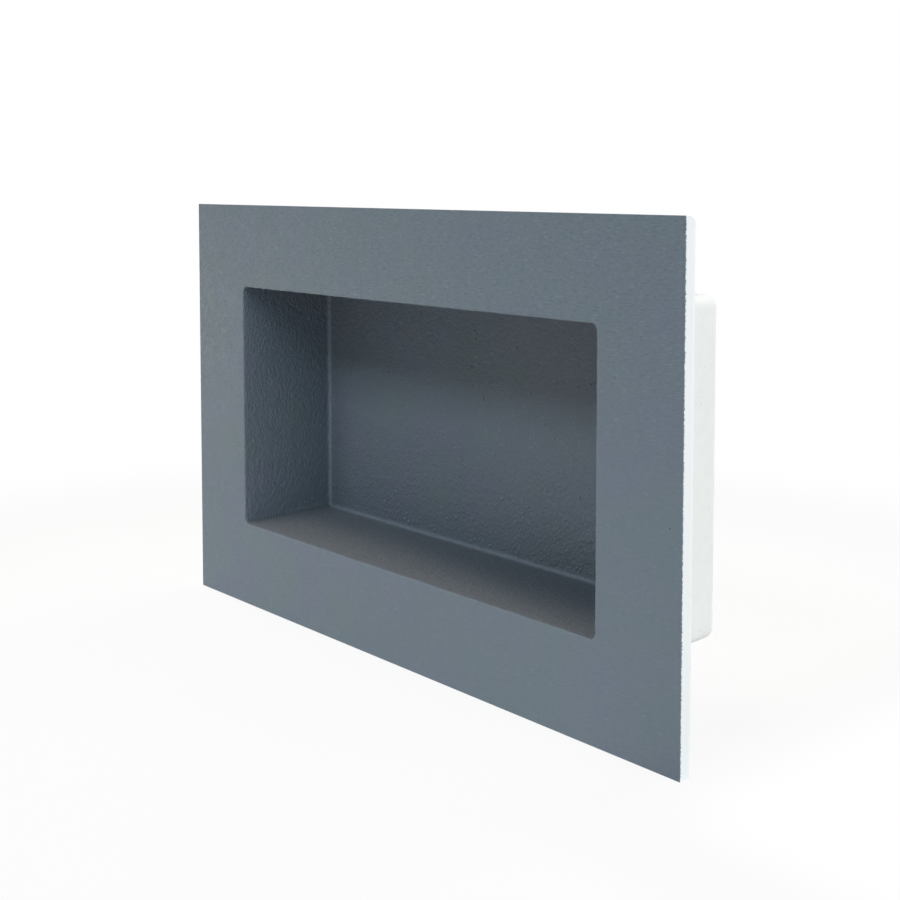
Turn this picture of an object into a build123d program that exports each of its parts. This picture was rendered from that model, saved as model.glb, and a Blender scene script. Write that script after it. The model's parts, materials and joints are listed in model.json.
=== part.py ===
"""Ready-to-tile shower niche: a white foam moulding with a grey waterproof coat on its face.

Frame: X runs along the width, Z is up and Y points into the wall.
The origin is the middle of the opening, on the wall plane that the back of the flange lies against.
"""

import os
from math import radians, tan

from build123d import *

# Driving dimensions, in millimetres and degrees
panel_width = 406.0
panel_height = 254.0
flange_thickness = 10.0
flange_edge_radius = 4.4
flange_edge_limit = 0.7

opening_width = 302.0
opening_height = 151.0
recess_depth = 67.0
recess_draft = 0.5
recess_corner_radius = 3.0
recess_edge_radius = 2.6
recess_edge_limit = 0.95
mouth_radius = 0.6

coat_thickness = 1.0

side_wall = 12.0
top_wall = 10.5
floor_wall = 13.5
back_wall = 10.0
box_draft = 1.0
rear_edge_radius = 6.0
corner_over_edge = 0.8
root_radius = 2.0

# Places along Y, from the face of the coat to the back of the box
face_y = -flange_thickness
foam_face_y = face_y + coat_thickness
box_length = face_y + recess_depth + coat_thickness + back_wall

# The box is its walls around the coated recess
box_width = opening_width + 2 * (coat_thickness + side_wall)
box_height = opening_height + 2 * coat_thickness + top_wall + floor_wall
box_centre_z = (top_wall - floor_wall) / 2

# A drafted corner loses radius along its length, so it starts that much larger
recess_corner_at_mouth = recess_corner_radius + recess_depth * tan(radians(recess_draft))
box_corner_at_root = rear_edge_radius + corner_over_edge + box_length * tan(radians(box_draft))

# The round along the back of the recess stays inside the radius of its corners
recess_edge = min(recess_edge_radius, recess_edge_limit * recess_corner_radius)

# The round on the flange's back edge leaves part of the bare foam edge upright
foam_flange = flange_thickness - coat_thickness
flange_edge = min(flange_edge_radius, flange_edge_limit * foam_flange)


def recess_plug(start_y, growth):
    """The space of the recess as a solid, grown by a layer's thickness on its walls and its back."""
    with BuildPart() as plug:
        with BuildSketch(Plane.back.offset(start_y)):
            RectangleRounded(
                opening_width + 2 * growth,
                opening_height + 2 * growth,
                recess_corner_at_mouth + growth,
            )
        extrude(amount=recess_depth, taper=recess_draft)
        back_face = plug.faces().sort_by(Axis.Y)[-1]
        fillet(back_face.edges(), radius=recess_edge + growth)
    return plug.part


recess = recess_plug(face_y, 0)
lined_recess = recess_plug(foam_face_y, coat_thickness)

# White foam moulding: flange panel, then the box on its back, then the hollow
with BuildPart() as foam_body:
    with BuildSketch(Plane.back.offset(foam_face_y)):
        Rectangle(panel_width, panel_height)
    extrude(amount=foam_flange)
    flange_back = foam_body.faces().sort_by(Axis.Y)[-1]
    fillet(flange_back.edges(), radius=flange_edge)

    with BuildSketch(Plane.back):
        with Locations((0, box_centre_z)):
            RectangleRounded(box_width, box_height, box_corner_at_root)
    extrude(amount=box_length, taper=box_draft)
    box_back = foam_body.faces().sort_by(Axis.Y)[-1]
    fillet(box_back.edges(), radius=rear_edge_radius)

    wall_face = foam_body.faces().filter_by(Axis.Y).sort_by(Axis.Y)[1]
    fillet(wall_face.inner_wires()[0].edges(), radius=root_radius)

    add(lined_recess, mode=Mode.SUBTRACT)

# Grey coat: a skin over the flange's face that runs on down the walls and back of the recess
with BuildPart() as coating:
    with BuildSketch(Plane.back.offset(face_y)):
        Rectangle(panel_width, panel_height)
    extrude(amount=coat_thickness)
    add(lined_recess)
    add(recess, mode=Mode.SUBTRACT)
    face = coating.faces().sort_by(Axis.Y)[0]
    fillet(face.inner_wires()[0].edges(), radius=mouth_radius)

foam_body.part.label = "foam_body"
coating.part.label = "coating"

os.makedirs("parts", exist_ok=True)
export_step(foam_body.part, "parts/foam_body.step")
export_step(coating.part, "parts/coating.step")
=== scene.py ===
"""Looks of a ready-to-tile shower niche: a sprayed grey coat on a white foam moulding, on a pale floor.

Every length is in metres, in the part's own frame: X along the width, Y into the wall, Z up.
"""

import json
from math import cos, pi, radians, sin, sqrt, tan

import bpy
import numpy as np
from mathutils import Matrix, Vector, noise


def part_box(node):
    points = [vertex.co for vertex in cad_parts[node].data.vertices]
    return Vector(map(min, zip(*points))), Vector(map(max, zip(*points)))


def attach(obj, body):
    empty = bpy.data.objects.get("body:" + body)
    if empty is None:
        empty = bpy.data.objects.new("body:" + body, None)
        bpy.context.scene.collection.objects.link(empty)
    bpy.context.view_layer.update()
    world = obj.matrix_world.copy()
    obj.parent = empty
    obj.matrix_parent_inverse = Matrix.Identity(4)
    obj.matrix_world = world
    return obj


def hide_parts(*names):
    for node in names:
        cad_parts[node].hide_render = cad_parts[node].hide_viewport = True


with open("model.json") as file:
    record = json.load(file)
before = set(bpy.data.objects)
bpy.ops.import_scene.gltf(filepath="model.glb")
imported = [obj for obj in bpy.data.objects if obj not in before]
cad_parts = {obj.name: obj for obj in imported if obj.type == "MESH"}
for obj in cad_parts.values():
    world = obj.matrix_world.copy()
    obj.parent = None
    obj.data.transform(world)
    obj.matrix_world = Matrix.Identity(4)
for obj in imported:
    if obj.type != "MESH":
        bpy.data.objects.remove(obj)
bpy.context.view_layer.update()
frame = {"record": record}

MM = 0.001

# Sizes read from the frame
foam_low, foam_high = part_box("foam_body")
coat_low, coat_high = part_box("coating")
panel_half_x = foam_high.x
panel_half_z = foam_high.z
face_y = coat_low.y
foam_face_y = foam_low.y
coat_thickness = foam_face_y - face_y
recess_depth = coat_high.y - coat_thickness - face_y
box_back_y = foam_high.y

# Sizes of the moulding that those boxes don't give, the same as in the solids
opening_half_x = 151.0 * MM
opening_half_z = 75.5 * MM
recess_slope = tan(radians(0.5))
recess_corner = 3.0 * MM
recess_edge = 2.6 * MM
mouth_round = 0.6 * MM
box_wall = 12.0 * MM
box_slope = tan(radians(1.0))
box_centre_z = -1.5 * MM
box_corner = 6.8 * MM
rear_edge = 6.0 * MM
root_round = 2.0 * MM
flange_edge = 4.4 * MM

# The flange's top edge is rounder at the back than its other edges
flange_top_edge = 8.5 * MM

# The coat's own edge: it thins out towards the rim of the flange and ends there in a ragged lip
coat_lip = 0.12 * MM
coat_edge_round = 0.15 * MM
rim_drop = 0.25 * MM
rim_y = face_y + rim_drop
rim_width = 4.0 * MM
lip_ragged = 1.1 * MM
lip_grain = 0.9 * MM

# Colours as linear values, from the record's material slots, and the tints that vary them
slots = {entry["slot"]: entry for entry in frame["record"]["materials"]}
COAT_COLOUR = slots["grey_coat"]["base_color"]
FOAM_COLOUR = slots["white_foam"]["base_color"]
FLANGE_TINT = (1.04, 1.05, 1.07)
COAT_VIOLET = (1.29, 1.25, 1.31)
COAT_GREEN = (1.25, 1.29, 1.22)
COAT_FLECK = (1.52, 1.53, 1.57)
COAT_STREAK = (1.06, 1.06, 1.07)
# Painted warm reflection, lighter and browner, on the recess's floor
COAT_FLOOR_REFLECTION = (1.79, 1.47, 1.25)
# Painted highlight on the recess's back edges and on its nibs
COAT_HIGHLIGHT_TINT = (1.66, 1.66, 1.68)


# Meshes, built as loops of points from the back of a piece, round its outside and into its recess

HIDDEN_WALL_ROWS = 1
HIDDEN_EDGE_ROWS = 4
HIDDEN_SPACING = 20.0 * MM
CORNER_SPREAD = 8.0 * MM


def ring(steps, half_x, half_z, radius, y, centre_z=0.0, sharp=False):
    """Points round a rectangle with round corners, or square ones, anticlockwise seen from the front."""
    along_x, along_z, corner_steps = steps
    corners = [(1, 1), (-1, 1), (-1, -1), (1, -1)]
    middles = [np.array([x * (half_x - radius), z * (half_z - radius)]) for x, z in corners]
    points = []
    for turn, middle in enumerate(middles):
        for step in range(corner_steps):
            angle = (turn + step / corner_steps) * pi / 2
            way = np.array([cos(angle), sin(angle)])
            reach = radius / abs(way).max() if sharp else radius
            points.append(middle + reach * way)
        side_angle = (turn + 1) * pi / 2
        outward = radius * np.array([cos(side_angle), sin(side_angle)])
        run = middles[(turn + 1) % 4] - middle
        side_steps = along_z if turn % 2 else along_x
        for step in range(side_steps):
            points.append(middle + run * step / side_steps + outward)
    flat = np.array(points)
    return np.column_stack([flat[:, 0], np.full(len(flat), y), flat[:, 1] + centre_z])


def between(first, last, rows):
    """Loops evenly spaced between two loops, without either end."""
    return [first + (last - first) * row / rows for row in range(1, rows)]


def quarter(rows):
    """The sine and cosine of a quarter turn in equal steps, without its start."""
    return [(sin(row / rows * pi / 2), cos(row / rows * pi / 2)) for row in range(1, rows + 1)]


def round_inset(depth, radius):
    """How far a rounded back edge lies inside the outline, at a depth from the back."""
    left = max(radius - depth, 0.0)
    return radius - sqrt(radius ** 2 - left ** 2)


def recess_loops(steps, start_y, growth, first_depth, rows, edge_rows):
    """Loops down the recess walls and round its back edge, for the recess grown by a layer's thickness."""
    edge = recess_edge + growth

    def section(depth, inset):
        taper = recess_slope * depth
        corner = recess_corner + growth + recess_slope * (recess_depth - depth)
        half_x = opening_half_x + growth - taper - inset
        half_z = opening_half_z + growth - taper - inset
        return ring(steps, half_x, half_z, corner - inset, start_y + depth)

    loops = [section(depth, 0.0) for depth in np.linspace(first_depth, recess_depth - edge, rows + 1)]
    for sine, cosine in quarter(edge_rows):
        loops.append(section(recess_depth - edge * (1 - sine), edge * (1 - cosine)))
    return loops


def shared_loops(steps):
    """Loops of the hidden surface inside the recess where coat and foam meet."""
    return recess_loops(steps, foam_face_y, coat_thickness, 0.0, HIDDEN_WALL_ROWS, HIDDEN_EDGE_ROWS)


class Skin:
    """Vertices and faces of one piece's closed skins."""

    def __init__(self):
        self.points = []
        self.faces = []

    def add_points(self, points):
        """Adds vertices and returns their numbers."""
        start = len(self.points)
        self.points.extend(points)
        return list(range(start, len(self.points)))

    def loft(self, loops):
        """Quads through loops of equally many points. Returns the vertices of each loop."""
        rows = [self.add_points(loop) for loop in loops]
        for row, after in zip(rows, rows[1:]):
            self.faces += zip(row, row[1:] + row[:1], after[1:] + after[:1], after)
        return rows

    def cap(self, loop, spacing, to_front):
        """Closes a flat loop with a grid of squares, zipped to the loop by triangles."""
        outline = np.array([self.points[vertex] for vertex in loop])
        middle = (outline.min(0) + outline.max(0)) / 2
        half = (outline.max(0) - outline.min(0)) / 2
        across, up = (max(1, round(2 * half[axis] / spacing) - 2) for axis in (0, 2))
        reach_x = half[0] * across / (across + 2)
        reach_z = half[2] * up / (up + 2)
        columns = [middle[0] + reach_x * (1 - 2 * column / across) for column in range(across + 1)]
        levels = [middle[2] + reach_z * (1 - 2 * row / up) for row in range(up + 1)]
        grid = [(x, middle[1], z) for z in levels for x in columns]
        index = np.array(self.add_points(grid)).reshape(up + 1, across + 1)
        corners = (index[:-1, :-1], index[:-1, 1:], index[1:, 1:], index[1:, :-1])
        faces = np.stack(corners, axis=-1).reshape(-1, 4).tolist()
        border = [*index[0, :-1], *index[:-1, -1], *index[-1, :0:-1], *index[:0:-1, 0]]
        border = [int(vertex) for vertex in border]

        def angles(vertices):
            """How far round the middle each vertex is, from the loop's first one."""
            away = np.array([self.points[vertex] for vertex in vertices]) - middle
            start = outline[0] - middle
            angle = np.arctan2(away[:, 2] / half[2], away[:, 0] / half[0])
            return (angle - np.arctan2(start[2] / half[2], start[0] / half[0])) % (2 * pi)

        past_end = 4 * pi
        loop_turns = [*angles(loop), 2 * pi]
        border_turns = angles(border)
        border_turns = [*border_turns, 2 * pi + border_turns[0]]
        outer = inner = 0
        while outer < len(loop) or inner < len(border):
            near, far = loop[outer % len(loop)], border[inner % len(border)]
            loop_next = loop_turns[outer + 1] if outer < len(loop) else past_end
            border_next = border_turns[inner + 1] if inner < len(border) else past_end
            if loop_next <= border_next:
                outer += 1
                faces.append((near, loop[outer % len(loop)], far))
            else:
                inner += 1
                faces.append((near, border[inner % len(border)], far))
        self.faces += faces if to_front else [face[::-1] for face in faces]

    def ball(self, middle, radii, rings=4, segments=7):
        """A closed round lump, from its back pole to its front one."""
        turns = 2 * pi * np.arange(segments) / segments
        loops = []
        for ring_angle in pi * np.arange(1, rings) / rings:
            across = sin(ring_angle)
            depth = np.full(segments, cos(ring_angle))
            shape = np.column_stack([across * np.cos(turns), depth, across * np.sin(turns)])
            loops.append(middle + radii * shape)
        rows = self.loft(loops)
        back, front = self.add_points([middle + (0, radii[1], 0), middle - (0, radii[1], 0)])
        self.faces += [(after, here, back) for here, after in zip(rows[0], rows[0][1:] + rows[0][:1])]
        self.faces += [(here, after, front) for here, after in zip(rows[-1], rows[-1][1:] + rows[-1][:1])]

    def piece(self, name):
        """A new smooth-shaded object with these skins as its mesh."""
        mesh = bpy.data.meshes.new(name)
        mesh.from_pydata([tuple(point) for point in self.points], [], self.faces, shade_flat=False)
        mesh.validate()
        made = bpy.data.objects.new(name, mesh)
        bpy.context.scene.collection.objects.link(made)
        return made


def wobble(points, size, seed):
    """Smooth noise from -1 to 1 at each point. Its size is one length, or one for each axis."""
    return np.array([noise.noise(Vector(point)) for point in points / np.array(size) + seed])


def smooth_step(value, low, high):
    """An even rise from 0 to 1 between two values."""
    share = np.clip((value - low) / (high - low), 0, 1)
    return share * share * (3 - 2 * share)


def vertex_places(mesh):
    """The places of a mesh's vertices."""
    values = np.zeros(len(mesh.vertices) * 3, np.float32)
    mesh.vertices.foreach_get("co", values)
    return values.reshape(-1, 3).astype(float)


def vertex_normals(mesh):
    """The normals of a mesh's vertices."""
    values = np.zeros(len(mesh.vertices) * 3, np.float32)
    mesh.vertex_normals.foreach_get("vector", values)
    return values.reshape(-1, 3).astype(float)


def store(mesh, name, values):
    """Keeps one number for each vertex, for the material to read."""
    mesh.attributes.new(name, "FLOAT", "POINT").data.foreach_set("value", values.astype(np.float32))


# Coat: one skin over the face that runs on into the recess, with its sprayed relief

COAT_STEPS = (183, 177, 6)
COAT_LIP_ROWS = 3
COAT_FACE_ROWS = 16
COAT_MOUTH_ROWS = 4
COAT_WALL_ROWS = 70
COAT_EDGE_ROWS = 6
COAT_BACK_SPACING = 2.0 * MM
COAT_SHARP_ANGLE = radians(75)

# A loop this close to each edge of the face keeps its shading flat, and the relief fades out to the rim
FLAT_MARGIN = 0.4 * MM
RIM_FADE = 5.0 * MM

# Small lumps low on the back of the recess. The powers crowd them to the right and to the bottom
NIB_COUNT = 190
NIB_RADII = (0.5 * MM, 1.2 * MM)
NIB_MARGIN = 5.0 * MM
NIB_HEIGHT = 0.55
NIB_TO_RIGHT = 0.75
NIB_TO_BOTTOM = 4
# How much painted highlight each nib gets
NIB_HIGHLIGHT = 0.45
NIB_SEED = 4

# How high the relief is, how large its features are and where its noise starts
SWELL_HEIGHT = 0.08 * MM
SWELL_SIZE = 45.0 * MM
LUMP_HEIGHT = 0.06 * MM
LUMP_SIZE = 9.0 * MM
WRINKLE_HEIGHT = 0.40 * MM
WRINKLE_SIZES = (2.8 * MM, 1.8 * MM, 3.2 * MM)
WRINKLE_BEND = 3.5 * MM
BEND_SIZE = 24.0 * MM
LIP_SEED = 3.1
SWELL_SEED = 8.9
LUMP_SEED = 5.3
WRINKLE_SEED = 11.7
BEND_SEED = 1.9

# Distances from the face over which the recess starts and over which its rough mouth comes and goes
RECESS_START = 2.0 * MM
MOUTH_START = 0.3 * MM
MOUTH_END = (0.8 * MM, 2.5 * MM)

# How wrinkled each part is, what its rougher parts add, and the stretches over which they come in
FACE_PEEL = 0.10
FACE_TOP_ADDS = 0.20
FACE_TOP = (20.0 * MM, 110.0 * MM)
RECESS_PEEL = 0.10
SIDE_WALL_PEEL = 0.90
LEVEL_WALL_PEEL = 0.55
MOUTH_PEEL = 0.5
BACK_PEEL = 0.50
BACK_LEFT_ADDS = 0.35
BACK_LEFT = (-50.0 * MM, 120.0 * MM)
BACK_LOW_RIGHT_ADDS = 0.25
BACK_RIGHT = (-40.0 * MM, 100.0 * MM)
BACK_LOW = (-10.0 * MM, 50.0 * MM)

# Two squared parts of a normal multiply to a quarter at most, midway round an edge
EDGE_SCALE = 4

# The painted highlight round the back of the recess is weaker on its level edges than on its upright ones
LEVEL_EDGE_SHARE = 0.8

# Painted shade: in the recess's corners, on its floor to the right and rear, and low on its back
SHADE_RIGHT = (-100.0 * MM, 140.0 * MM)
SHADE_RIGHT_FRONT = 0.28
SHADE_RIGHT_REAR_ADDS = 0.88
SHADE_RIGHT_DEPTHS = (-8.0 * MM, 35.0 * MM)
SHADE_LEFT_REAR = 0.48
SHADE_LEFT_DEPTHS = (10.0 * MM, 50.0 * MM)
LOW_BACK_SHADE = 0.6
LOW_BACK_FACING = (0.8, 1.0)
LOW_BACK_RIGHT = (-20.0 * MM, 90.0 * MM)
LOW_BACK_LOW = (35.0 * MM, 75.0 * MM)


def coat_outline(y, inset=0.0):
    """The flange's outline, drawn in by a distance."""
    half_x = panel_half_x - inset
    half_z = panel_half_z - inset
    return ring(COAT_STEPS, half_x, half_z, CORNER_SPREAD, y, sharp=True)


def mouth_outline(y, growth):
    """The outline of the recess's mouth, grown by a distance."""
    corner = recess_corner + recess_slope * recess_depth
    half_x = opening_half_x + growth
    half_z = opening_half_z + growth
    return ring(COAT_STEPS, half_x, half_z, corner + growth, y)


def coat_loops():
    """The loops of the hidden back of the coat, then those that show."""
    hidden = shared_loops(COAT_STEPS)[::-1]
    hidden += [coat_outline(foam_face_y, rim_width), coat_outline(rim_y)]

    lip = coat_outline(rim_y, -coat_lip)
    lip[:, 1] += lip_ragged * np.clip(wobble(lip, lip_grain, LIP_SEED), 0, None)
    shown = [lip, coat_outline(face_y + coat_edge_round, -coat_lip)]
    for sine, cosine in quarter(COAT_LIP_ROWS):
        inset = coat_edge_round * (1 - cosine) - coat_lip
        shown.append(coat_outline(face_y + coat_edge_round * (1 - sine), inset))

    face_start = coat_outline(face_y, FLAT_MARGIN)
    face_end = mouth_outline(face_y, mouth_round + FLAT_MARGIN)
    shown += [face_start, *between(face_start, face_end, COAT_FACE_ROWS), face_end]
    for sine, cosine in [(0.0, 1.0), *quarter(COAT_MOUTH_ROWS)[:-1]]:
        shown.append(mouth_outline(face_y + mouth_round * (1 - cosine), mouth_round * (1 - sine)))
    shown += recess_loops(COAT_STEPS, face_y, 0.0, mouth_round, COAT_WALL_ROWS, COAT_EDGE_ROWS)
    return hidden, shown


def add_nibs(skin):
    """Small lumps of coat on the back of the recess, more of them low down and to the right."""
    chance = np.random.default_rng(NIB_SEED)
    reach_x = opening_half_x - NIB_MARGIN
    reach_z = opening_half_z - NIB_MARGIN
    for _ in range(NIB_COUNT):
        x = 2 * reach_x * chance.random() ** NIB_TO_RIGHT - reach_x
        z = 2 * reach_z * chance.random() ** NIB_TO_BOTTOM - reach_z
        radius = chance.uniform(*NIB_RADII)
        skin.ball(np.array([x, face_y + recess_depth, z]), radius * np.array([1.0, NIB_HEIGHT, 1.0]))


def coat_peel(points, normals, inside):
    """How wrinkled the spray is at each point, as a share."""
    x, y, z = points.T
    side, into, level = (normals ** 2).T
    mouth = smooth_step(y, face_y, face_y + MOUTH_START)
    mouth *= smooth_step(-y, -face_y - MOUTH_END[1], -face_y - MOUTH_END[0])
    low_right = smooth_step(x, *BACK_RIGHT) * smooth_step(-z, *BACK_LOW)
    back = BACK_PEEL + BACK_LEFT_ADDS * smooth_step(-x, *BACK_LEFT) + BACK_LOW_RIGHT_ADDS * low_right
    face = FACE_PEEL + FACE_TOP_ADDS * smooth_step(z, *FACE_TOP)
    recess = RECESS_PEEL + SIDE_WALL_PEEL * side + LEVEL_WALL_PEEL * level + back * into
    return face + inside * (recess - face) + MOUTH_PEEL * mouth


def coat_height(points, inside, peel):
    """How far the spray lifts each point: broad swells, lumps in the recess, then bent wrinkles."""
    bend = WRINKLE_BEND * wobble(points, BEND_SIZE, BEND_SEED)
    wrinkles = wobble(points + np.outer(bend, (0.0, 1.0, 0.0)), WRINKLE_SIZES, WRINKLE_SEED)
    lumps = wobble(points, LUMP_SIZE, LUMP_SEED)
    swell = wobble(points, SWELL_SIZE, SWELL_SEED)
    return SWELL_HEIGHT * swell + inside * LUMP_HEIGHT * lumps + peel * WRINKLE_HEIGHT * wrinkles


def painted_shade_amount(points, normals, inside, floor):
    """How much painted shade each point gets, as a share: in the recess's corners, low on its back and on
    its floor.
    """
    x, y, z = points.T
    side, into, level = (normals ** 2).T
    to_right = smooth_step(x, *SHADE_RIGHT)
    floor_shade = to_right * (SHADE_RIGHT_FRONT + SHADE_RIGHT_REAR_ADDS * smooth_step(y, *SHADE_RIGHT_DEPTHS))
    floor_shade += SHADE_LEFT_REAR * (1 - to_right) * smooth_step(y, *SHADE_LEFT_DEPTHS)
    low_back_shade = LOW_BACK_SHADE * smooth_step(into, *LOW_BACK_FACING) * smooth_step(x, *LOW_BACK_RIGHT)
    low_back_shade *= smooth_step(-z, *LOW_BACK_LOW)
    return inside * (EDGE_SCALE * side * level + low_back_shade) + floor * floor_shade


def coat_piece():
    """The sprayed coat, with what its material needs to know of each vertex."""
    hidden, shown = coat_loops()
    skin = Skin()
    rows = skin.loft(hidden + shown)
    skin.cap(rows[-1], COAT_BACK_SPACING, to_front=True)
    last_shown = len(skin.points)
    skin.cap(rows[0], HIDDEN_SPACING, to_front=False)
    nib_start = len(skin.points)
    add_nibs(skin)
    made = skin.piece("sprayed_coat")

    mesh = made.data
    points = vertex_places(mesh)
    normals = vertex_normals(mesh)
    normals[nib_start:] = (0.0, -1.0, 0.0)
    x, y, z = points.T
    side, into, level = (normals ** 2).T
    relief = np.zeros(len(points))
    relief[len(hidden) * len(rows[0]):last_shown] = 1.0
    from_rim = np.minimum(panel_half_x - abs(x), panel_half_z - abs(z))
    relief *= smooth_step(from_rim, 0.0, RIM_FADE)
    inside = smooth_step(y, face_y, face_y + RECESS_START)
    peel = coat_peel(points, normals, inside)
    lift = relief * coat_height(points, inside, peel)
    moved = points + normals * lift[:, None]
    mesh.vertices.foreach_set("co", moved.astype(np.float32).ravel())
    mesh.update()
    mesh.set_sharp_from_angle(angle=COAT_SHARP_ANGLE)

    floor = inside * level * (normals[:, 2] > 0)
    # Painted highlight along the recess's back edges and on the nibs
    painted_highlight = inside * EDGE_SCALE * into * (side + LEVEL_EDGE_SHARE * level)
    painted_highlight[nib_start:] = NIB_HIGHLIGHT
    store(mesh, "peel", peel * relief)
    store(mesh, "recess", inside)
    store(mesh, "floor", floor)
    store(mesh, "painted_highlight", painted_highlight)
    # Painted shade in the recess's corners, low on its back and on its floor
    store(mesh, "painted_shade", painted_shade_amount(points, normals, inside, floor))
    return made


# Foam moulding: the flange panel and the box behind it, with the hollow that the coat lines

FOAM_STEPS = (150, 90, 10)
FOAM_REAR_ROWS = 8
FOAM_BOX_ROWS = 29
FOAM_ROOT_ROWS = 5
FOAM_PANEL_ROWS = 14
FOAM_EDGE_ROWS = 12
FOAM_BACK_SPACING = 2.4 * MM
FOAM_SHARP_ANGLE = radians(50)


def box_section(y, inset):
    """The outline of the drafted box, drawn in by a distance."""
    corner = box_corner + box_slope * (box_back_y - y) - inset
    half_x = opening_half_x + coat_thickness + box_wall - box_slope * y - inset
    half_z = opening_half_z + coat_thickness + box_wall - box_slope * y - inset
    return ring(FOAM_STEPS, half_x, half_z, corner, y, box_centre_z)


def panel_outline(y, side, top, bottom):
    """The flange's outline, drawn in by a distance at its sides, its top and its bottom."""
    half_z = panel_half_z - (top + bottom) / 2
    centre_z = (bottom - top) / 2
    return ring(FOAM_STEPS, panel_half_x - side, half_z, CORNER_SPREAD, y, centre_z, sharp=True)


def rounded_panel(y):
    """The flange's outline where its back edge is round."""
    side, top = (round_inset(-y, radius) for radius in (flange_edge, flange_top_edge))
    return panel_outline(y, side, top, side)


def foam_loops():
    """The loops that show, from the back of the box to the rim of the flange."""
    loops = [box_section(box_back_y, rear_edge)]
    for sine, cosine in quarter(FOAM_REAR_ROWS):
        loops.append(box_section(box_back_y - rear_edge * (1 - cosine), rear_edge * (1 - sine)))
    box_depths = np.linspace(box_back_y - rear_edge, root_round, FOAM_BOX_ROWS + 1)
    loops += [box_section(y, 0.0) for y in box_depths[1:]]
    for sine, cosine in quarter(FOAM_ROOT_ROWS):
        loops.append(box_section(root_round * (1 - sine), -root_round * (1 - cosine)))
    panel_back = rounded_panel(0.0)
    loops += [*between(loops[-1], panel_back, FOAM_PANEL_ROWS), panel_back]
    loops += [rounded_panel(-flange_top_edge * (1 - cosine)) for _, cosine in quarter(FOAM_EDGE_ROWS)]
    loops += [rounded_panel(rim_y), panel_outline(foam_face_y, rim_width, rim_width, rim_width)]
    return loops


def foam_piece():
    """The white moulding, closed inside by the surface that the coat lines."""
    skin = Skin()
    rows = skin.loft(foam_loops() + shared_loops(FOAM_STEPS))
    skin.cap(rows[0], FOAM_BACK_SPACING, to_front=False)
    skin.cap(rows[-1], HIDDEN_SPACING, to_front=True)
    made = skin.piece("foam_moulding")
    made.data.set_sharp_from_angle(angle=FOAM_SHARP_ANGLE)
    return made


# Tools for materials

# Most values of a noise lie in this range
NOISE_SPREAD = (0.3, 0.7)

# Detail of a noise, more where it has to look cloudy or wispy
CLOUDY = 3.0
PLAIN = 2.0

# The share of a dot's radius inside which it is solid
DOT_CORE = 0.5


def new_material(name):
    """A material with one Principled surface. Returns it with its node tree and that surface."""
    material = bpy.data.materials.new(name)
    material.use_nodes = True
    return material, material.node_tree, material.node_tree.nodes["Principled BSDF"]


def connect(tree, source, target):
    """Joins an output socket to an input socket, or sets the input to a plain value."""
    if isinstance(source, bpy.types.NodeSocket):
        tree.links.new(source, target)
    else:
        target.default_value = source


def add_node(tree, kind, **settings):
    """A new node with its settings."""
    node = tree.nodes.new(kind)
    for name, value in settings.items():
        setattr(node, name, value)
    return node


def object_place(tree):
    """The shaded point in the part's frame."""
    return add_node(tree, "ShaderNodeTexCoord").outputs["Object"]


def along(tree, place, axis):
    """One coordinate of a place."""
    split = add_node(tree, "ShaderNodeSeparateXYZ")
    connect(tree, place, split.inputs["Vector"])
    return split.outputs[axis]


def stored(tree, name):
    """A number that the mesh keeps for each vertex."""
    return add_node(tree, "ShaderNodeAttribute", attribute_name=name).outputs["Fac"]


def stretched(tree, place, sizes, turn=(0.0, 0.0, 0.0)):
    """Coordinates in which a feature of size 1 has the given size along each axis."""
    node = add_node(tree, "ShaderNodeMapping")
    connect(tree, place, node.inputs["Vector"])
    node.inputs["Rotation"].default_value = turn
    node.inputs["Scale"].default_value = [1 / size for size in sizes]
    return node.outputs["Vector"]


def grain(tree, place, size, detail=PLAIN):
    """Noise from 0 to 1 with features of a given size."""
    node = add_node(tree, "ShaderNodeTexNoise")
    connect(tree, place, node.inputs["Vector"])
    node.inputs["Scale"].default_value = 1 / size
    node.inputs["Detail"].default_value = detail
    return node.outputs["Fac"]


def cells(tree, place, size, feature="F1"):
    """A Voronoi node with cells of a given size."""
    node = add_node(tree, "ShaderNodeTexVoronoi", feature=feature)
    connect(tree, place, node.inputs["Vector"])
    node.inputs["Scale"].default_value = 1 / size
    return node


def ramp(tree, value, low, high, to_low=0.0, to_high=1.0):
    """The value mapped smoothly from one range to another and held there."""
    node = add_node(tree, "ShaderNodeMapRange", interpolation_type="SMOOTHSTEP")
    connect(tree, value, node.inputs["Value"])
    for name, number in (("From Min", low), ("From Max", high), ("To Min", to_low), ("To Max", to_high)):
        node.inputs[name].default_value = number
    return node.outputs["Result"]


def arithmetic(tree, operation, first, second):
    """One sum or other operation on two numbers."""
    node = add_node(tree, "ShaderNodeMath", operation=operation)
    connect(tree, first, node.inputs[0])
    connect(tree, second, node.inputs[1])
    return node.outputs["Value"]


def mix_colour(tree, share, first, second):
    """The first colour, with a share of the second."""
    node = add_node(tree, "ShaderNodeMix", data_type="RGBA")
    colours = [socket for socket in node.inputs if socket.type == "RGBA"]
    connect(tree, share, node.inputs["Factor"])
    for value, socket in zip((first, second), colours):
        connect(tree, value, socket)
    return next(socket for socket in node.outputs if socket.type == "RGBA")


def shade(colour, factor):
    """A plain colour made lighter or darker, as a socket takes it."""
    return [channel * factor for channel in colour] + [1.0]


def tint(colour, factors):
    """A plain colour with each channel scaled, as a socket takes it."""
    return [channel * factor for channel, factor in zip(colour, factors)] + [1.0]


def bump(tree, height, distance, strength=1.0, below=None):
    """A normal that follows a height, on top of the normal below it."""
    node = add_node(tree, "ShaderNodeBump")
    connect(tree, height, node.inputs["Height"])
    connect(tree, strength, node.inputs["Strength"])
    node.inputs["Distance"].default_value = distance
    if below is not None:
        connect(tree, below, node.inputs["Normal"])
    return node.outputs["Normal"]


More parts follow.
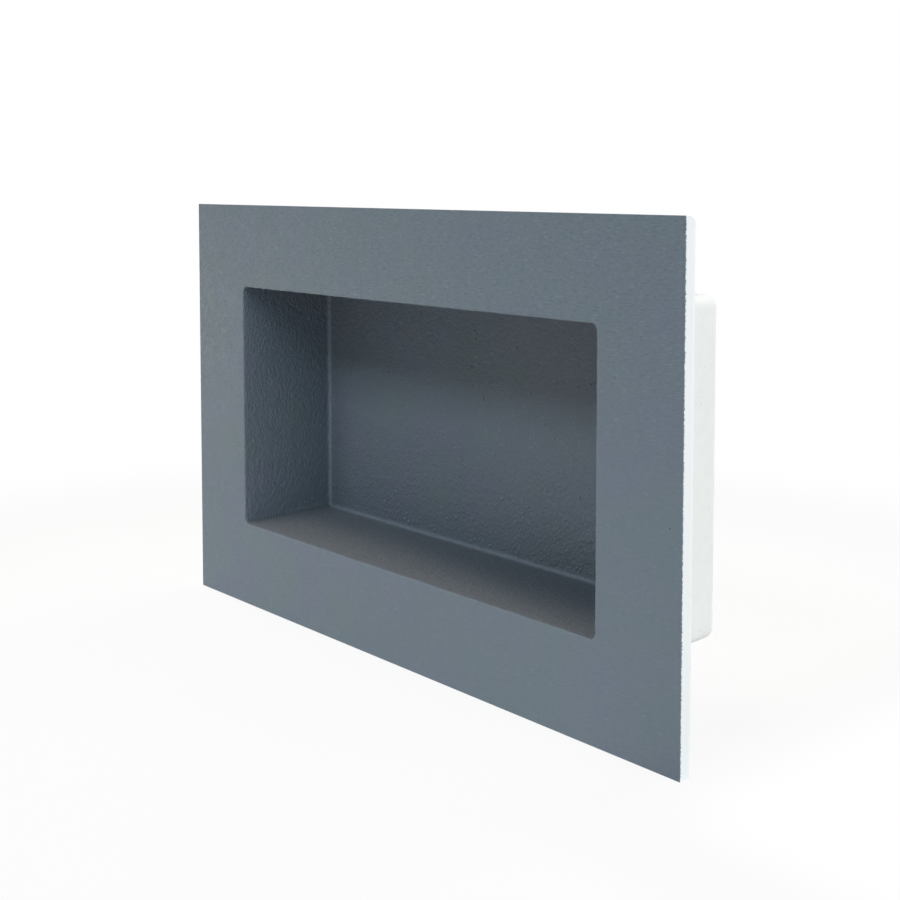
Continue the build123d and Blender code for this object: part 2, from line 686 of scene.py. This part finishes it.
def dots(tree, place, size, radius, share):
    """Round dots of one radius in a share of the cells of a given size, from 0 to 1."""
    node = cells(tree, place, size)
    dot = ramp(tree, node.outputs["Distance"], DOT_CORE * radius / size, radius / size, 1.0, 0.0)
    split = add_node(tree, "ShaderNodeSeparateColor")
    connect(tree, node.outputs["Color"], split.inputs["Color"])
    chosen = arithmetic(tree, "LESS_THAN", split.outputs["Red"], share)
    return arithmetic(tree, "MULTIPLY", dot, chosen)


# Coat material

CLOUD_SIZE = 35.0 * MM
# Painted shade over the whole recess, as a share of a darker grey
RECESS_PAINTED_SHADE_SHARE = 0.285
RECESS_PAINTED_SHADE = 0.5

# Pale wisps and dark streaks, which are stronger towards the top
FLECK_HEIGHTS = (-20.0 * MM, 100.0 * MM)
FLECK_GAINS = (0.6, 1.4)
FLECKS_IN_RECESS = 0.6
PATCH_SIZE = 12.0 * MM
PATCH_SPREAD = (0.35, 0.65)
PATCH_GAINS = (0.5, 1.5)
WISP_SIZES = (4.6 * MM, 1.0 * MM, 0.9 * MM)
WISP_SPREAD = (0.53, 0.75)
STREAK_SIZES = (3.4 * MM, 1.1 * MM, 1.0 * MM)
STREAK_SPREAD = (0.30, 0.50)
STREAK_SHARE = 0.6

# Grit on the recess's floor, painted highlights on the recess's back edges and nibs, painted shade in the
# recess, pinholes in the face
GRIT_SIZE = 0.7 * MM
GRIT_SPREAD = (0.42, 0.62)
GRIT_SHADE = 0.85
HIGHLIGHT_UNEVEN_SIZE = 5.0 * MM
HIGHLIGHT_UNEVEN_GAINS = (0.7, 1.0)
PAINTED_SHADE_SHARE = 0.8
PAINTED_SHADE_DARKNESS = 0.65
PINHOLE_SPACING = 16.0 * MM
PINHOLE_RADIUS = 0.5 * MM
PINHOLE_SHARE = 0.4
PINHOLE_SHADE = 0.35

# Gloss and fine relief
GLOSS_SIZE = 3.0 * MM
COAT_ROUGHNESS = (0.55, 0.68)
COAT_SPECULAR = 0.3
FINE_SIZE = 0.9 * MM
FINE_DEPTH = 0.14 * MM
PEEL_SIZES = (1.8 * MM, 1.25 * MM, 2.1 * MM)
PEEL_TURN = (radians(3), 0.0, 0.0)
PEEL_DEPTH = 1.15 * MM


def clouded_coat(tree, place):
    """The coat's grey in violet and green clouds, with a painted warm reflection on the recess's floor and
    painted shade inside the recess.
    """
    clouds = ramp(tree, grain(tree, place, CLOUD_SIZE, CLOUDY), *NOISE_SPREAD)
    colour = mix_colour(tree, clouds, tint(COAT_COLOUR, COAT_VIOLET), tint(COAT_COLOUR, COAT_GREEN))
    # Painted warm reflection on the recess's floor
    colour = mix_colour(tree, stored(tree, "floor"), colour, tint(COAT_COLOUR, COAT_FLOOR_REFLECTION))
    # Painted shade inside the recess
    inside = arithmetic(tree, "MULTIPLY", stored(tree, "recess"), RECESS_PAINTED_SHADE_SHARE)
    return mix_colour(tree, inside, colour, shade(COAT_COLOUR, RECESS_PAINTED_SHADE))


def flecked_coat(tree, place, colour):
    """A colour with patches of pale wisps and with dark streaks."""
    upward = ramp(tree, along(tree, place, "Z"), *FLECK_HEIGHTS, *FLECK_GAINS)
    patches = ramp(tree, grain(tree, place, PATCH_SIZE, CLOUDY), *PATCH_SPREAD, *PATCH_GAINS)
    share = ramp(tree, stored(tree, "recess"), 0.0, 1.0, 1.0, FLECKS_IN_RECESS)
    share = arithmetic(tree, "MULTIPLY", share, arithmetic(tree, "MULTIPLY", patches, upward))
    wisps = grain(tree, stretched(tree, place, WISP_SIZES), 1.0, CLOUDY)
    flecks = arithmetic(tree, "MULTIPLY", ramp(tree, wisps, *WISP_SPREAD), share)
    colour = mix_colour(tree, flecks, colour, tint(COAT_COLOUR, COAT_FLECK))
    streaks = grain(tree, stretched(tree, place, STREAK_SIZES), 1.0)
    dark = arithmetic(tree, "MULTIPLY", ramp(tree, streaks, *STREAK_SPREAD, STREAK_SHARE, 0.0), upward)
    return mix_colour(tree, dark, colour, tint(COAT_COLOUR, COAT_STREAK))


def grit_and_painted_light(tree, place, colour):
    """A colour with grit on the floor, painted highlights on the recess's back edges and nibs, and painted
    shade in its corners, low on its back and on its floor to the right and rear.
    """
    grit = ramp(tree, grain(tree, place, GRIT_SIZE), *GRIT_SPREAD)
    grit = arithmetic(tree, "MULTIPLY", grit, stored(tree, "floor"))
    colour = mix_colour(tree, grit, colour, shade(COAT_COLOUR, GRIT_SHADE))
    uneven = ramp(tree, grain(tree, place, HIGHLIGHT_UNEVEN_SIZE, CLOUDY), *NOISE_SPREAD, *HIGHLIGHT_UNEVEN_GAINS)
    painted_highlight = arithmetic(tree, "MULTIPLY", stored(tree, "painted_highlight"), uneven)
    colour = mix_colour(tree, painted_highlight, colour, tint(COAT_COLOUR, COAT_HIGHLIGHT_TINT))
    painted_shade = arithmetic(tree, "MULTIPLY", stored(tree, "painted_shade"), PAINTED_SHADE_SHARE)
    return mix_colour(tree, painted_shade, colour, shade(COAT_COLOUR, PAINTED_SHADE_DARKNESS))


def pinholed_coat(tree, place, colour):
    """A colour with a few dark pinholes outside the recess."""
    on_face = arithmetic(tree, "SUBTRACT", 1.0, stored(tree, "recess"))
    holes = dots(tree, place, PINHOLE_SPACING, PINHOLE_RADIUS, PINHOLE_SHARE)
    holes = arithmetic(tree, "MULTIPLY", holes, on_face)
    return mix_colour(tree, holes, colour, shade(COAT_COLOUR, PINHOLE_SHADE))


def coat_material():
    """Sprayed slate-grey coat: cloudy, flecked, finely grained, with orange peel on the recess walls."""
    material, tree, surface = new_material("sprayed_grey_coat")
    place = object_place(tree)
    colour = clouded_coat(tree, place)
    colour = flecked_coat(tree, place, colour)
    colour = grit_and_painted_light(tree, place, colour)
    colour = pinholed_coat(tree, place, colour)
    connect(tree, colour, surface.inputs["Base Color"])

    roughness = ramp(tree, grain(tree, place, GLOSS_SIZE, CLOUDY), *NOISE_SPREAD, *COAT_ROUGHNESS)
    connect(tree, roughness, surface.inputs["Roughness"])
    surface.inputs["Specular IOR Level"].default_value = COAT_SPECULAR

    fine = bump(tree, grain(tree, place, FINE_SIZE), FINE_DEPTH)
    skewed = stretched(tree, place, PEEL_SIZES, PEEL_TURN)
    peel = bump(tree, grain(tree, skewed, 1.0), PEEL_DEPTH, stored(tree, "peel"), fine)
    connect(tree, peel, surface.inputs["Normal"])
    return material


# Foam material

MOTTLE_SIZE = 6.0 * MM
MOTTLE_SHADE = 0.975
SPECK_SPACING = 17.0 * MM
SPECK_RADIUS = 0.4 * MM
SPECK_SHARE = 0.3
SPECK_SHADE = 0.35

# The stretch before the flange's back over which the flange's paler, bluer colour ends
FLANGE_TINT_END = (-0.2 * flange_edge, 0.0)

# Overspray from the coat on the edge beside it
SPRAY_REACH = 1.2 * MM
SPRAY_BIAS = 0.36
SPATTER_SIZES = (0.75 * MM, 1.8 * MM, 0.75 * MM)
SPATTER_SPREAD = (0.74, 0.80)
SPATTER_SHADE = 0.9

# Gloss, fine pores and the moulded beads
FOAM_ROUGHNESS = 0.8
FOAM_SPECULAR = 0.25
PORE_SIZE = 0.6 * MM
PORE_DEPTH = 0.03 * MM
BEAD_SIZE = 3.4 * MM
BEAD_EDGE = 0.22
BEAD_DEPTH = 0.02 * MM


def foam_material():
    """White moulded foam: mottled, pored, with a few dark specks, grey where spray caught its edge."""
    material, tree, surface = new_material("moulded_white_foam")
    place = object_place(tree)
    depth = along(tree, place, "Y")
    mottle = ramp(tree, grain(tree, place, MOTTLE_SIZE, CLOUDY), *NOISE_SPREAD)
    colour = mix_colour(tree, mottle, shade(FOAM_COLOUR, MOTTLE_SHADE), shade(FOAM_COLOUR, 1.0))
    # The flange is paler and bluer than the box behind it
    flange_share = ramp(tree, depth, *FLANGE_TINT_END, 1.0, 0.0)
    colour = mix_colour(tree, flange_share, colour, tint(FOAM_COLOUR, FLANGE_TINT))
    specks = dots(tree, place, SPECK_SPACING, SPECK_RADIUS, SPECK_SHARE)
    colour = mix_colour(tree, specks, colour, shade(FOAM_COLOUR, SPECK_SHADE))
    near_coat = ramp(tree, depth, rim_y, rim_y + SPRAY_REACH, SPRAY_BIAS, 0.0)
    spatter = grain(tree, stretched(tree, place, SPATTER_SIZES), 1.0)
    caught = ramp(tree, arithmetic(tree, "ADD", spatter, near_coat), *SPATTER_SPREAD)
    colour = mix_colour(tree, caught, colour, shade(COAT_COLOUR, SPATTER_SHADE))
    connect(tree, colour, surface.inputs["Base Color"])

    surface.inputs["Roughness"].default_value = FOAM_ROUGHNESS
    surface.inputs["Specular IOR Level"].default_value = FOAM_SPECULAR
    pores = bump(tree, grain(tree, place, PORE_SIZE), PORE_DEPTH)
    bead_edge = cells(tree, place, BEAD_SIZE, "DISTANCE_TO_EDGE").outputs["Distance"]
    beads = bump(tree, ramp(tree, bead_edge, 0.0, BEAD_EDGE), BEAD_DEPTH, below=pores)
    connect(tree, beads, surface.inputs["Normal"])
    return material


def dress(piece, node, material):
    """Puts a piece in the place of a solid, with its finish."""
    piece.data.materials.append(material)
    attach(piece, "root")
    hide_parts(node)


dress(coat_piece(), "coating", coat_material())
dress(foam_piece(), "foam_body", foam_material())


# Stage: white floor and background, soft light and the photograph's camera

WHITE = (1.0, 1.0, 1.0, 1.0)
WORLD_LEVEL = 0.05
FLOOR_NEAR = (0.94, 0.94, 0.94, 1.0)
FLOOR_FAR = (0.2, 0.2, 0.2, 1.0)
FLOOR_REACH = 4.0
FLOOR_GAP = 0.2 * MM
FLOOR_WHITE = 0.85
FLOOR_ROUGHNESS = 0.9
FLOOR_SPECULAR = 0.1
SHEET_EDGE = (0.3, 0.7)
SHEET_RIGHT_END = (0.14, 0.26)
SHEET_BACK_END = (-0.12, 0.0)

# The photograph's camera, as fitted to the straight edges
LENS_MM = 55.542
SENSOR_MM = 36.0
CAMERA_SHIFT_Y = -0.20
CAMERA_PLACE = Vector((591.26, -487.52, 142.38)) * MM
CAMERA_TURN = radians(48.737)
CAMERA_DIP = radians(3.687)
CAMERA_CLIP_START = 0.05


def seen_directly(tree):
    """1 for what the camera sees, straight or in a gloss or through glass, else 0."""
    path = add_node(tree, "ShaderNodeLightPath")
    gloss = arithmetic(tree, "MAXIMUM", path.outputs["Is Glossy Ray"], path.outputs["Is Transmission Ray"])
    return arithmetic(tree, "MAXIMUM", path.outputs["Is Camera Ray"], gloss)


def white_world():
    """A background that is seen as white and gives only a little light."""
    world = bpy.data.worlds.new("soft_white")
    bpy.context.scene.world = world
    world.use_nodes = True
    tree = world.node_tree
    lit = tree.nodes["Background"]
    lit.inputs["Color"].default_value = WHITE
    lit.inputs["Strength"].default_value = WORLD_LEVEL
    white = add_node(tree, "ShaderNodeBackground")
    white.inputs["Color"].default_value = WHITE
    mixed = add_node(tree, "ShaderNodeMixShader")
    connect(tree, seen_directly(tree), mixed.inputs["Fac"])
    connect(tree, lit.outputs["Background"], mixed.inputs[1])
    connect(tree, white.outputs["Background"], mixed.inputs[2])
    connect(tree, mixed.outputs["Shader"], tree.nodes["World Output"].inputs["Surface"])


def floor_material():
    """A white sheet that shows the object's shadow and lights it from below, seen as white further out."""
    material, tree, surface = new_material("pale_floor")
    place = object_place(tree)
    away = add_node(tree, "ShaderNodeVectorMath", operation="LENGTH")
    connect(tree, place, away.inputs[0])
    past_edge = ramp(tree, away.outputs["Value"], *SHEET_EDGE)
    past_right = ramp(tree, along(tree, place, "X"), *SHEET_RIGHT_END)
    past_back = ramp(tree, along(tree, place, "Y"), *SHEET_BACK_END)
    cut_corner = arithmetic(tree, "MULTIPLY", past_right, past_back)
    beyond = arithmetic(tree, "MAXIMUM", past_edge, cut_corner)
    connect(tree, mix_colour(tree, beyond, FLOOR_NEAR, FLOOR_FAR), surface.inputs["Base Color"])
    surface.inputs["Roughness"].default_value = FLOOR_ROUGHNESS
    surface.inputs["Specular IOR Level"].default_value = FLOOR_SPECULAR
    glow = add_node(tree, "ShaderNodeEmission")
    glow.inputs["Strength"].default_value = 1.0
    white = ramp(tree, beyond, 0.0, 1.0, FLOOR_WHITE, 1.0)
    mixed = add_node(tree, "ShaderNodeMixShader")
    connect(tree, arithmetic(tree, "MULTIPLY", seen_directly(tree), white), mixed.inputs["Fac"])
    connect(tree, surface.outputs["BSDF"], mixed.inputs[1])
    connect(tree, glow.outputs["Emission"], mixed.inputs[2])
    connect(tree, mixed.outputs["Shader"], tree.nodes["Material Output"].inputs["Surface"])
    return material


def white_floor():
    """The floor, just under the flange's bottom edge."""
    mesh = bpy.data.meshes.new("floor")
    z = foam_low.z - coat_lip - FLOOR_GAP
    square = [(-1, -1), (1, -1), (1, 1), (-1, 1)]
    mesh.from_pydata([(x * FLOOR_REACH, y * FLOOR_REACH, z) for x, y in square], [], [(0, 1, 2, 3)])
    floor = bpy.data.objects.new("floor", mesh)
    bpy.context.scene.collection.objects.link(floor)
    mesh.materials.append(floor_material())


def area_lamp(name, place, size, level, colour, aim=(0.0, 0.0, 0.0)):
    """A soft lamp. Its level is the light on a surface that faces it, where 1 shows a colour as it is."""
    data = bpy.data.lights.new(name, "AREA")
    data.shape = "RECTANGLE"
    data.size, data.size_y = size
    data.color = colour
    way = Vector(aim) - Vector(place)
    data.energy = level * pi ** 2 * way.length_squared
    lamp = bpy.data.objects.new(name, data)
    bpy.context.scene.collection.objects.link(lamp)
    lamp.location = place
    lamp.rotation_euler = way.to_track_quat("-Z", "Y").to_euler()


def all_lamps():
    """A high key in front, a warm lamp overhead and softer ones round the sides and the back."""
    area_lamp(
        "low_left_lamp", place=(-1.0, -0.17, -0.03), size=(0.5, 0.15), level=0.18,
        colour=(1.0, 0.94, 0.72), aim=(0.0, -0.01, -0.12),
    )
    area_lamp(
        "key_lamp", place=(0.0, -2.13, 2.085), size=(1.9, 0.75), level=0.395, colour=(0.84, 0.94, 1.0),
    )
    area_lamp(
        "overhead_lamp", place=(-0.7, -0.33, 2.9), size=(1.2, 0.6), level=0.36, colour=(0.97, 0.87, 0.74),
    )
    area_lamp(
        "low_right_lamp", place=(2.5, -0.7, 0.8), size=(1.4, 1.0), level=0.13, colour=(0.5, 0.85, 1.0),
    )
    area_lamp(
        "grazing_right_lamp", place=(2.7, -0.35, 1.2), size=(1.0, 1.0), level=0.21, colour=(1.0, 0.93, 0.92),
    )
    area_lamp(
        "right_side_lamp", place=(2.6, 0.95, 0.6), size=(1.6, 1.5), level=0.47, colour=(0.99, 1.0, 0.98),
    )
    area_lamp(
        "left_side_lamp", place=(-2.6, 0.9, 0.85), size=(1.6, 1.5), level=0.26, colour=(0.97, 1.0, 1.0),
    )
    area_lamp(
        "rear_lamp", place=(0.0, 2.6, 0.85), size=(2.0, 1.6), level=0.36, colour=(1.0, 1.0, 1.0),
    )


def photo_camera():
    """The photograph's camera, turned to the left and dipped a little."""
    data = bpy.data.cameras.new("photo_camera")
    data.lens = LENS_MM
    data.sensor_width = SENSOR_MM
    data.shift_y = CAMERA_SHIFT_Y
    data.clip_start = CAMERA_CLIP_START
    camera = bpy.data.objects.new("photo_camera", data)
    bpy.context.scene.collection.objects.link(camera)
    level_reach = cos(CAMERA_DIP)
    ahead = Vector((-sin(CAMERA_TURN) * level_reach, cos(CAMERA_TURN) * level_reach, -sin(CAMERA_DIP)))
    camera.location = CAMERA_PLACE
    camera.rotation_euler = ahead.to_track_quat("-Z", "Y").to_euler()
    bpy.context.scene.camera = camera


white_world()
white_floor()
all_lamps()
photo_camera()
bpy.context.scene.view_settings.view_transform = "Standard"
